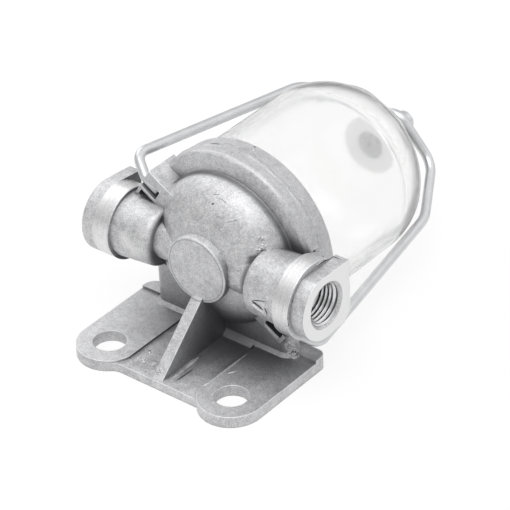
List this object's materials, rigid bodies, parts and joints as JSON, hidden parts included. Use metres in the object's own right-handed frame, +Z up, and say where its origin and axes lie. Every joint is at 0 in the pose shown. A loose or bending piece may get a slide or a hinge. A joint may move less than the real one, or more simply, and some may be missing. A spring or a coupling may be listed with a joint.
{
  "type": "fuel water separator",
  "caption": "Fuel water separator: cast head on a mounting foot, threaded inlet and outlet ports, and a clear glass bowl held on by a wire bail with a screw clamp.",
  "frame": {"origin": "midway between the two bolt holes, on the underside of the foot", "axes": "+Z up out of the foot along the bolts, +Y along the bowl towards its closed end, +X out of the inlet port"},
  "size_m": [0.0896, 0.1376, 0.0656],
  "materials": {
    "cast_aluminium": "matt as-cast, tumbled",
    "gasket_rubber": "matt",
    "strainer_brass": "satin",
    "bowl_glass": "clear moulded",
    "zinc_plated_steel": "bright zinc plate"
  },
  "bodies": {
    "head": {"head_casting": "cast_aluminium", "bowl_gasket": "gasket_rubber", "strainer_frame": "strainer_brass", "strainer_gauze": "strainer_brass", "glass_bowl": "bowl_glass"},
    "bail": {"bail_wire": "zinc_plated_steel"},
    "clamp": {"clamp_stud": "zinc_plated_steel", "pressure_cup": "zinc_plated_steel"},
    "nut": {"thumb_nut": "zinc_plated_steel"}
  },
  "joints": [
    {"name": "bail_swing", "type": "hinge", "parent": "head", "child": "bail", "pos_m": [0, 0.0264, 0.0327], "axis": [0.848, 0, -0.5299], "range_deg": [0, 50]},
    {"name": "nut_turn", "type": "hinge", "parent": "bail", "child": "nut", "pos_m": [0, 0.112, 0.0327], "axis": [0, -1, 0], "range_deg": [0, 570]},
    {"name": "clamp_slide", "type": "slide", "parent": "bail", "child": "clamp", "axis": [0, 1, 0], "range_m": [0, 0.0016]}
  ],
  "couplings": [
    {"joint": "clamp_slide", "follows": "nut_turn", "m_per_rad": 0.00015915}
  ]
}
